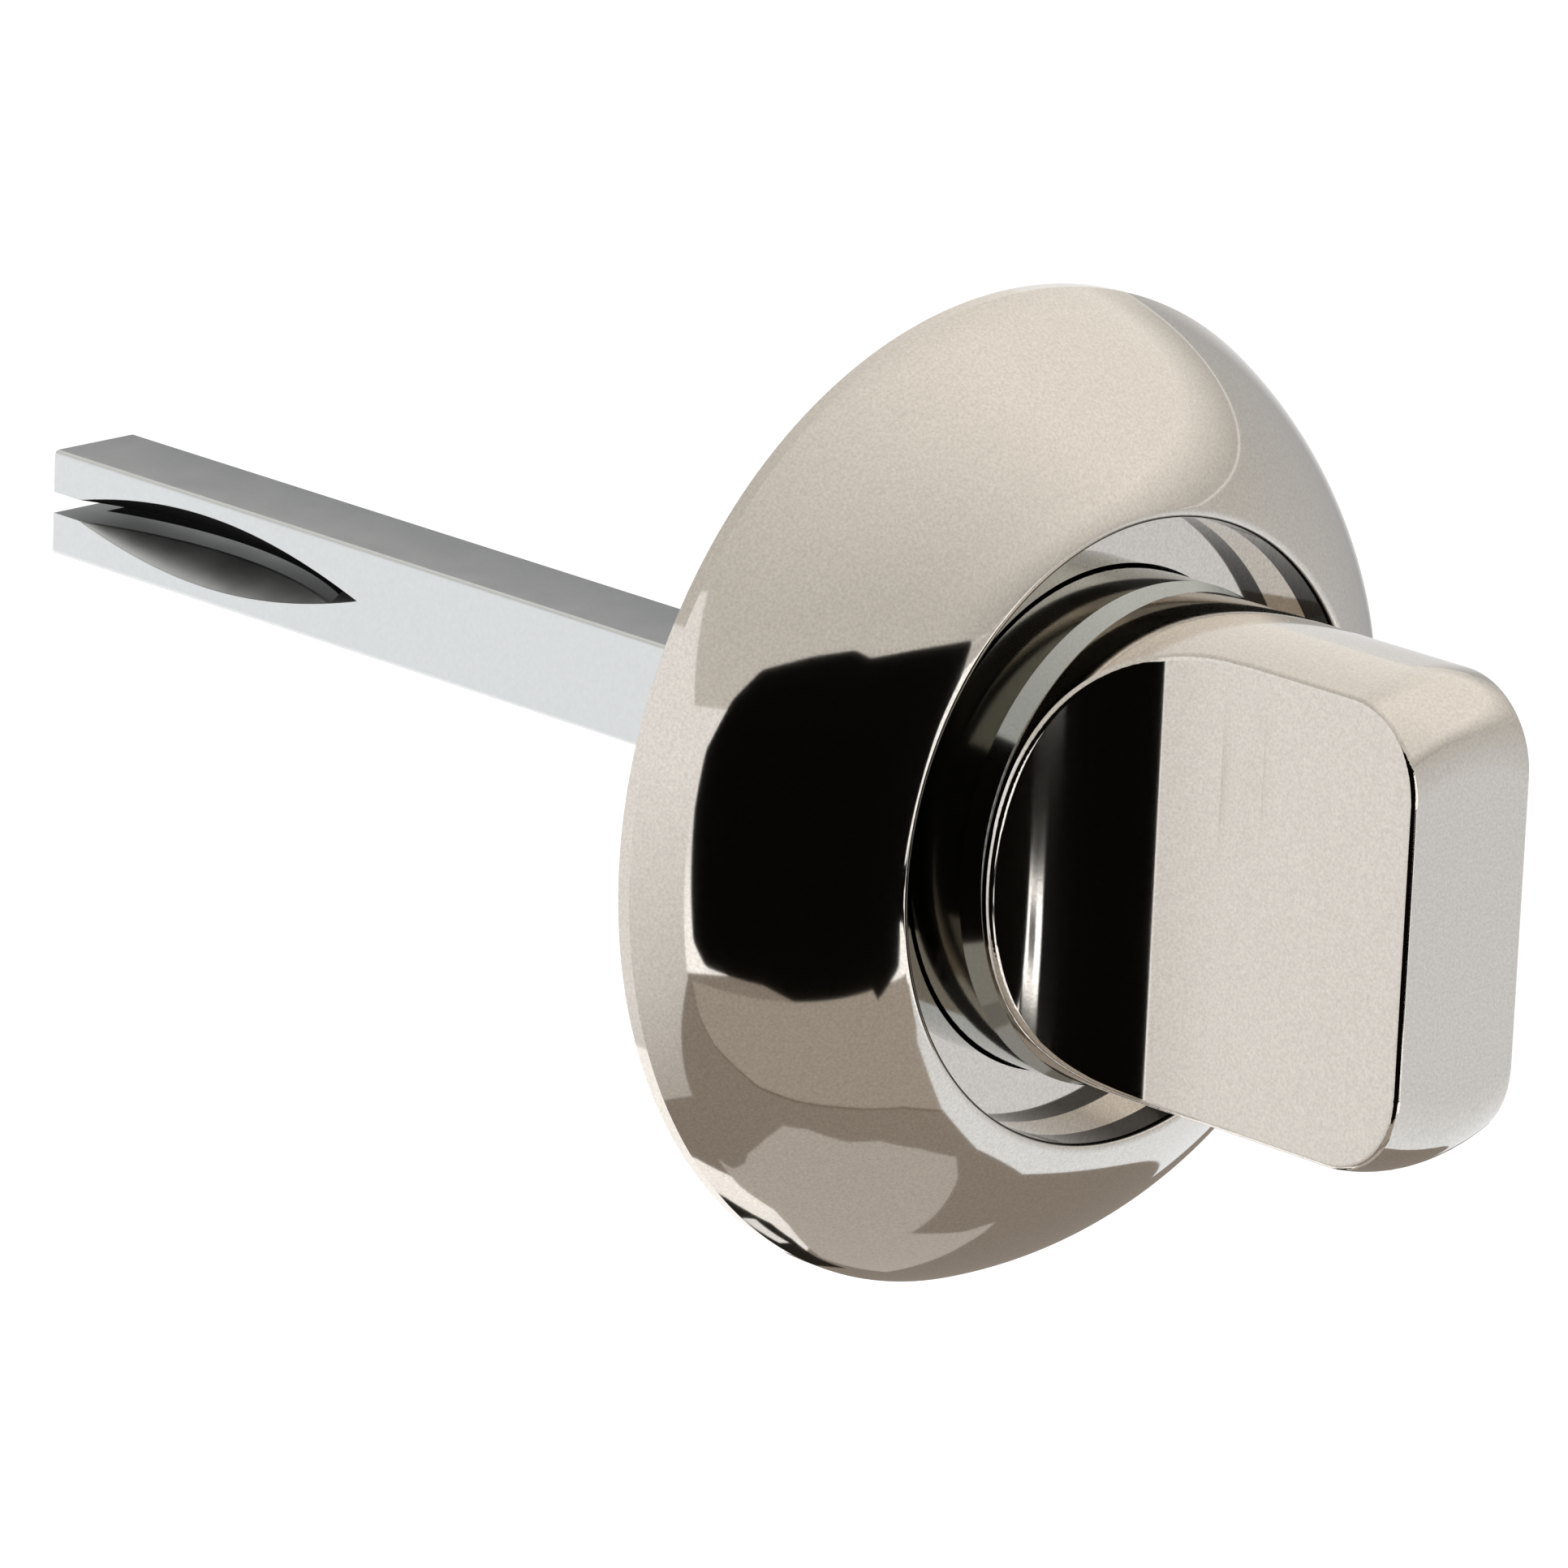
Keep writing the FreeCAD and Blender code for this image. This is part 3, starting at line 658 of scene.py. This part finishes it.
class TURNLOCK_OT_inside(bpy.types.Operator):
    """Finishes of the plate, bush, rings and pin behind the rose"""

    bl_idname = "turnlock.inside"
    bl_label = "Inner works"

    def execute(self, context):
        finish = context.scene.turnlock_finish
        zinc = metal(
            "zinc_casting",
            finish.zinc,
            roughness=0.48,
            spread=0.2,
            grain_scale=2600.0,
            grain_amount=0.25,
            cloud_scale=700.0,
            wave=8e-6,
        )
        spring = metal(
            "spring_steel",
            finish.spring,
            roughness=0.3,
            spread=0.15,
            grain_scale=3800.0,
            grain_amount=0.2,
            cloud_scale=500.0,
            wave=1e-6,
        )
        acetal = metal(
            "acetal",
            finish.acetal,
            roughness=0.45,
            spread=0.1,
            grain_scale=3000.0,
            grain_amount=0.06,
            cloud_scale=500.0,
            wave=2e-6,
            metallic=0.0,
        )
        dress("base_plate", zinc)
        dress("bearing_bush", acetal)
        for node in ("spindle_pin", "spring_washer", "retaining_ring", "snap_ring"):
            dress(node, spring)
        return {"FINISHED"}


# Stage
def direction(azimuth, elevation):
    """Unit vector from the object; azimuth zero faces the rose and a quarter turn is on its right."""
    level = math.cos(elevation)
    return Vector((math.sin(azimuth) * level, -math.cos(azimuth) * level, math.sin(elevation)))


def glow():
    """The one emitting material of all panels, which carry their tones on their corners."""
    name = "panel_glow"
    if name in bpy.data.materials:
        return bpy.data.materials[name]
    material = bpy.data.materials.new(name)
    material.use_nodes = True
    tree = material.node_tree
    tree.nodes.clear()
    leave = add_node(tree, "ShaderNodeOutputMaterial")
    light = add_node(tree, "ShaderNodeEmission")
    tone = add_node(tree, "ShaderNodeAttribute", attribute_name=TONE)
    tree.links.new(tone.outputs["Color"], light.inputs["Color"])
    tree.links.new(light.outputs["Emission"], leave.inputs["Surface"])
    return material


def hang(name, shape):
    """Puts a panel on the stage: it shows in reflections and throws no shadow."""
    piece = add_mesh(name, shape, glow())
    piece.visible_camera = False
    piece.visible_shadow = False


def curved_panel(name, corners, distance, tone_at):
    """A curved panel between corners (azimuth, elevation) in degrees, from left low round to left high."""
    shape = bmesh.new()
    layer = shape.verts.layers.float_color.new(TONE)
    half = 0.5
    bmesh.ops.create_grid(shape, x_segments=PANEL_STEPS[0], y_segments=PANEL_STEPS[1], size=half)
    low_left, low_right, high_right, high_left = (Vector(corner) for corner in corners)
    for vert in shape.verts:
        u, v = vert.co.x + half, vert.co.y + half
        azimuth, elevation = low_left.lerp(low_right, u).lerp(high_left.lerp(high_right, u), v)
        aim = direction(math.radians(azimuth), math.radians(elevation))
        vert.co = aim * distance
        vert[layer] = (*tone_at(u, v, aim), 1.0)
    hang(name, shape)


def wide_panel(name, corners, distance, tones):
    """A curved panel whose tone runs between the tones of its four corners."""
    low_left, low_right, high_right, high_left = (Vector(tone) for tone in tones)

    def tone_at(u, v, aim):
        return low_left.lerp(low_right, u).lerp(high_left.lerp(high_right, u), v)

    curved_panel(name, corners, distance, tone_at)


def ramp(value, low, high):
    """Nothing up to low, one from high on, straight between."""
    return min(max((value - low) / (high - low), 0.0), 1.0)


def ceiling_tone(u, v, aim):
    """Warm white, brightest above the right, duller to the left, in front, behind and low on the right."""
    across, ahead = aim.x, -aim.y
    height = math.degrees(math.asin(aim.z))
    plain = 0.91 + 0.3 * across
    front_loss = 0.38 * max(ahead - 0.15, 0.0) ** 2
    back_loss = 0.14 * ramp(-ahead, 0.0, 0.25)
    low_right = (1.0 - ramp(height, 17.0, 30.0)) * ramp(across, -0.05, 0.3) * ramp(ahead, -0.55, -0.3)
    corner_loss = 0.5 * low_right
    dullest, brightest = 0.68, 1.02
    level = min(max(plain - front_loss - back_loss, dullest), brightest) * (1.0 - corner_loss)
    warm_green, warm_blue = 0.97, 0.92
    return (level, level * warm_green, level * warm_blue)


def cut_panel(name, outline, distance, tone, corner=0.0):
    """A panel cut to an outline of (azimuth, elevation) in degrees, its corners rounded if asked."""
    shape = bmesh.new()
    aims = [direction(math.radians(azimuth), math.radians(elevation)) for azimuth, elevation in outline]
    points = [shape.verts.new(aim * distance) for aim in aims]
    shape.faces.new(points)
    if corner > 0.0:
        bmesh.ops.bevel(
            shape,
            geom=points,
            offset=corner,
            offset_type="OFFSET",
            segments=CORNER_STEPS,
            profile=0.5,
            affect="VERTICES",
            material=-1,
        )
    layer = shape.verts.layers.float_color.new(TONE)
    for vert in shape.verts:
        vert[layer] = (*tone, 1.0)
    bmesh.ops.triangulate(shape, faces=list(shape.faces))
    hang(name, shape)


def add_card(name, low, high, tone):
    """A small upright card between two corners that share their place across."""
    shape = bmesh.new()
    layer = shape.verts.layers.float_color.new(TONE)
    corners = [(low[1], low[2]), (high[1], low[2]), (high[1], high[2]), (low[1], high[2])]
    points = [shape.verts.new((low[0], along, height)) for along, height in corners]
    for vert in points:
        vert[layer] = (*tone, 1.0)
    shape.faces.new(points)
    hang(name, shape)


def grey(level):
    """A neutral tone."""
    return (level, level, level)


def add_opening(reach):
    """Dark opening round the camera, and the lamps beside it."""
    # The right edge of the opening follows the lip of the rose
    gap = [(-72, -26), (-69, -31), (-51, -34), (-36, -38), (-22, -37.5), (-14, -34), (-8, -28), (-8.5, -20)]
    gap += [(-7, -10), (-5, -2), (-3, 7), (1, 14), (3, 20), (-12, 24), (-26, 26), (-31, 28.5), (-44, 29)]
    gap += [(-59, 27), (-66, 21), (-71, 11), (-72, 0)]
    cut_panel("camera_gap", gap, reach * 0.8, BLACK, corner=0.004)
    # What the turn's scoop mirrors: a bright ring in a dark ground
    cut_panel("gap_side", [(-12, -20.5), (17, -20.5), (17, -12), (-12, -12)], reach * 0.79, BLACK)
    ring = [(2, -18.3), (15, -18.3), (15, -16.15), (2, -16.15)]
    cut_panel("lamp_ring", ring, reach * 0.72, grey(2.0), corner=0.004)
    middle = [(6.3, -17.8), (11.5, -17.8), (11.5, -16.6), (6.3, -16.6)]
    cut_panel("ring_middle", middle, reach * 0.7, BLACK, corner=0.003)
    lamp = [(-9, -30), (26, -30), (26, 15), (-9, 15)]
    wide_panel("lamp_strip", lamp, reach * 0.86, [grey(1.35)] * 4)


def add_walls(reach):
    """Wall in front and on the right, darker at its top right, and wall on the left, duller at its foot."""
    pale, cool, band = (0.94, 0.98, 1.02), (0.76, 0.775, 0.80), (0.62, 0.605, 0.58)
    dim, dull = grey(0.42), grey(0.54)
    low_wall = [(-6, -57), (57, -57.5), (57, -12), (-6, -12)]
    wide_panel("front_wall_low", low_wall, reach * 0.9, (pale, pale, cool, cool))
    low_right = [(57, -57.5), (114, -36), (114, -12), (57, -12)]
    wide_panel("front_wall_low_right", low_right, reach * 0.9, (pale, pale, WHITE, cool))
    high_wall = [(-6, -12), (57, -12), (57, 19), (-6, 19)]
    wide_panel("front_wall_high", high_wall, reach * 0.9, (cool, cool, band, band))
    high_right = [(57, -12), (114, -12), (114, 19), (57, 19)]
    wide_panel("front_wall_high_right", high_right, reach * 0.9, (cool, dim, dull, band))
    side = [(114, -12), (132, -12), (132, 19), (114, 19)]
    wide_panel("side_wall", side, reach * 0.9, (dim, WHITE, WHITE, dull))
    plain, foot = (0.73, 0.715, 0.70), (0.53, 0.50, 0.47)
    left_wall = [(-150, -34), (-75, -34), (-72, 8), (-150, 8)]
    wide_panel("left_wall", left_wall, reach * 0.97, (WHITE, plain, WHITE, WHITE))
    left_foot = [(-150, -60), (-91, -60), (-75, -34), (-150, -34)]
    wide_panel("left_foot", left_foot, reach * 0.96, (foot, foot, plain, WHITE))


def add_table(reach):
    """Table below, its far edge and the paper on it."""
    back_edge = [(-74, -34), (-73.7, -42), (-71, -48), (-58, -57), (-43, -59.5), (-25, -59), (0, -54.5)]
    back_edge += [(13, -52)]
    front_edge = [(0, -40), (-3, -28)]
    cut_panel("table_back", back_edge + front_edge, reach * 0.87, (0.42, 0.375, 0.325))
    brown, brown_middle = (0.29, 0.25, 0.215), (0.31, 0.27, 0.23)
    corner = [(-8, -54.8), (0, -54.3), (13, -51.8), (22, -54.8), (32, -57.2), (32, -60), (-8, -60)]
    cut_panel("table_corner", corner, reach * 0.89, brown_middle)
    line = [(a - 0.2, e - 0.5) for a, e in back_edge]
    cut_panel("table_line", line + front_edge, reach * 0.88, (0.18, 0.145, 0.115))
    sheet = [(-51, -67), (-38, -67), (-17, -68), (-3, -65), (15, -63), (30, -61), (42, -65), (57, -69)]
    sheet += [(75, -71), (98, -71), (96, -64), (90, -61), (109, -59), (121, -55), (130, -50), (137, -61)]
    sheet += [(153, -77), (175, -81), (-142, -79), (-115, -74), (-116, -77), (-97, -77), (-86, -75)]
    sheet += [(-64, -71)]
    cut_panel("paper", sheet, reach * 0.95, (0.53, 0.49, 0.45))
    streak = [(-155, -73), (180, -75.5), (160, -75), (146, -70), (138, -61), (134, -54)]
    streak += [(150, -55), (175, -62), (-160, -66)]
    cut_panel("streak", streak, reach * 0.93, (0.02, 0.018, 0.015))
    cut_panel("streak_light", [(167, -74), (146, -67.5), (148, -66), (169, -72)], reach * 0.92, WHITE)
    table_left = [(-130, -89.9), (2, -89.9), (2, -33), (-130, -33)]
    wide_panel("table_left", table_left, reach, (brown, brown_middle, brown_middle, brown))
    table_right = [(2, -89.9), (140, -89.9), (140, -25), (2, -33)]
    wide_panel("table_right", table_right, reach, (brown_middle, brown, brown, brown_middle))


def add_ceiling(reach):
    """Ceiling in three stretches."""
    curved_panel("ceiling_low", [(-77, 19), (180, 19), (180, 41), (-86, 41)], reach, ceiling_tone)
    curved_panel("ceiling_high", [(-86, 41), (180, 41), (180, 89.9), (-86, 89.9)], reach, ceiling_tone)
    curved_panel("ceiling_left", [(-180, 12), (-86, 40.5), (-86, 89.9), (-180, 89.9)], reach, ceiling_tone)


def add_panels(reach):
    """The studio that the metal mirrors, and a grey card beside the spindle for its upper face.

    Each panel's distance is a share of the reach, and a panel that covers another has the smaller share.
    """
    add_opening(reach)
    add_walls(reach)
    add_table(reach)
    add_ceiling(reach)
    add_card("spindle_card", low=(0.013, 0.008, 0.003), high=(0.013, 0.11, 0.017), tone=grey(0.28))


def seen_rays(tree):
    """One for what the camera sees itself, in a mirror or through glass, and nothing for lighting."""
    rays = add_node(tree, "ShaderNodeLightPath")
    first = add_node(tree, "ShaderNodeMath", operation="MAXIMUM")
    second = add_node(tree, "ShaderNodeMath", operation="MAXIMUM")
    tree.links.new(rays.outputs["Is Camera Ray"], first.inputs[0])
    tree.links.new(rays.outputs["Is Glossy Ray"], first.inputs[1])
    tree.links.new(first.outputs[0], second.inputs[0])
    tree.links.new(rays.outputs["Is Transmission Ray"], second.inputs[1])
    return second.outputs[0]


def add_floor(stage):
    """Pale floor: white to the camera, with the shadow of the object on it."""
    shape = bmesh.new()
    bmesh.ops.create_grid(shape, x_segments=1, y_segments=1, size=FLOOR_HALF)
    bmesh.ops.translate(shape, verts=list(shape.verts), vec=(0.0, 0.0, -stage.floor_drop))
    material = bpy.data.materials.new("pale_floor")
    material.use_nodes = True
    tree = material.node_tree
    tree.nodes.clear()
    leave = add_node(tree, "ShaderNodeOutputMaterial")
    matt = add_node(tree, "ShaderNodeBsdfDiffuse")
    matt.inputs["Color"].default_value = (*grey(FLOOR_GREY), 1.0)
    light = add_node(tree, "ShaderNodeEmission")
    level = add_node(tree, "ShaderNodeMath", operation="MULTIPLY")
    level.inputs[1].default_value = FLOOR_GLOW
    both = add_node(tree, "ShaderNodeAddShader")
    tree.links.new(seen_rays(tree), level.inputs[0])
    tree.links.new(level.outputs[0], light.inputs["Strength"])
    tree.links.new(matt.outputs["BSDF"], both.inputs[0])
    tree.links.new(light.outputs["Emission"], both.inputs[1])
    tree.links.new(both.outputs["Shader"], leave.inputs["Surface"])
    floor = add_mesh("floor", shape, material)


def add_world():
    """White all round for the camera and for reflections, a little less as fill light."""
    world = bpy.data.worlds.new("white_studio")
    bpy.context.scene.world = world
    world.use_nodes = True
    tree = world.node_tree
    tree.nodes.clear()
    leave = add_node(tree, "ShaderNodeOutputWorld")
    white = add_node(tree, "ShaderNodeBackground")
    white.inputs["Color"].default_value = (*WHITE, 1.0)
    level = add_node(tree, "ShaderNodeMapRange")
    level.inputs["To Min"].default_value = FILL_LEVEL
    level.inputs["To Max"].default_value = 1.0
    tree.links.new(seen_rays(tree), level.inputs["Value"])
    tree.links.new(level.outputs["Result"], white.inputs["Strength"])
    tree.links.new(white.outputs["Background"], leave.inputs["Surface"])


def add_camera(stage):
    """Camera at the distance and angles of the settings, rolled, and aimed to one side of the rose."""
    back = direction(stage.azimuth, stage.elevation)
    level = Vector((math.cos(stage.azimuth), math.sin(stage.azimuth), 0.0))
    upright = back.cross(level)
    right = level * math.cos(stage.roll) + upright * math.sin(stage.roll)
    top = upright * math.cos(stage.roll) - level * math.sin(stage.roll)
    eye = back * stage.distance
    look = (right * stage.aim_across - eye).normalized()
    side = look.cross(top).normalized()
    data = bpy.data.cameras.new("camera")
    data.sensor_width = SENSOR
    data.lens = SENSOR * stage.distance / stage.field
    data.clip_start, data.clip_end = CLIP
    camera = bpy.data.objects.new("camera", data)
    axes = Matrix((side, side.cross(look), -look)).transposed()
    camera.matrix_world = Matrix.Translation(eye) @ axes.to_4x4()
    bpy.context.scene.collection.objects.link(camera)
    bpy.context.scene.camera = camera


def add_lamp(name, spot, side, power):
    """A square soft lamp that points at the object."""
    data = bpy.data.lights.new(name, "AREA")
    data.size = side
    data.energy = power
    lamp = bpy.data.objects.new(name, data)
    lamp.location = spot
    lamp.rotation_mode = "QUATERNION"
    lamp.rotation_quaternion = (-spot).to_track_quat("-Z", "Y")
    lamp.visible_glossy = False
    bpy.context.scene.collection.objects.link(lamp)


class TURNLOCK_OT_stage(bpy.types.Operator):
    """Camera, pale floor, soft lamp and the panels that the metal mirrors"""

    bl_idname = "turnlock.stage"
    bl_label = "Studio stage"

    def execute(self, context):
        stage = context.scene.turnlock_stage
        context.scene.view_settings.view_transform = "Standard"
        add_world()
        add_floor(stage)
        add_lamp("soft_lamp", spot=Vector((-0.5, -0.7, 1.1)), side=0.5, power=8.0)
        add_panels(stage.reach)
        add_camera(stage)
        return {"FINISHED"}


class TURNLOCK_PT_sidebar(bpy.types.Panel):
    """Lists the settings and the steps"""

    bl_label = "Thumb turn"
    bl_space_type = "VIEW_3D"
    bl_region_type = "UI"
    bl_category = "Thumb turn"

    def draw(self, context):
        scene = context.scene
        groups = (scene.turnlock_finish, scene.turnlock_rose, scene.turnlock_spindle, scene.turnlock_stage)
        for group in groups:
            for name in group.__annotations__:
                self.layout.prop(group, name)
        for step in STEPS:
            self.layout.operator(step.bl_idname)


STEPS = (
    TURNLOCK_OT_rose,
    TURNLOCK_OT_turn,
    TURNLOCK_OT_collar,
    TURNLOCK_OT_spindle,
    TURNLOCK_OT_inside,
    TURNLOCK_OT_stage,
)
CLASSES = (FinishSettings, RoseSettings, SpindleSettings, StageSettings, *STEPS, TURNLOCK_PT_sidebar)


def register():
    """Registers the classes and hangs the settings on the scene."""
    for item in CLASSES:
        bpy.utils.register_class(item)
    bpy.types.Scene.turnlock_finish = PointerProperty(type=FinishSettings)
    bpy.types.Scene.turnlock_rose = PointerProperty(type=RoseSettings)
    bpy.types.Scene.turnlock_spindle = PointerProperty(type=SpindleSettings)
    bpy.types.Scene.turnlock_stage = PointerProperty(type=StageSettings)


def unregister():
    """Takes the settings and the classes away again."""
    del bpy.types.Scene.turnlock_stage
    del bpy.types.Scene.turnlock_spindle
    del bpy.types.Scene.turnlock_rose
    del bpy.types.Scene.turnlock_finish
    for item in reversed(CLASSES):
        bpy.utils.unregister_class(item)


def main():
    """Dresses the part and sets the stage."""
    register()
    bpy.ops.turnlock.rose()
    bpy.ops.turnlock.turn()
    bpy.ops.turnlock.collar()
    bpy.ops.turnlock.spindle()
    bpy.ops.turnlock.inside()
    bpy.ops.turnlock.stage()


if __name__ == "__main__":
    main()
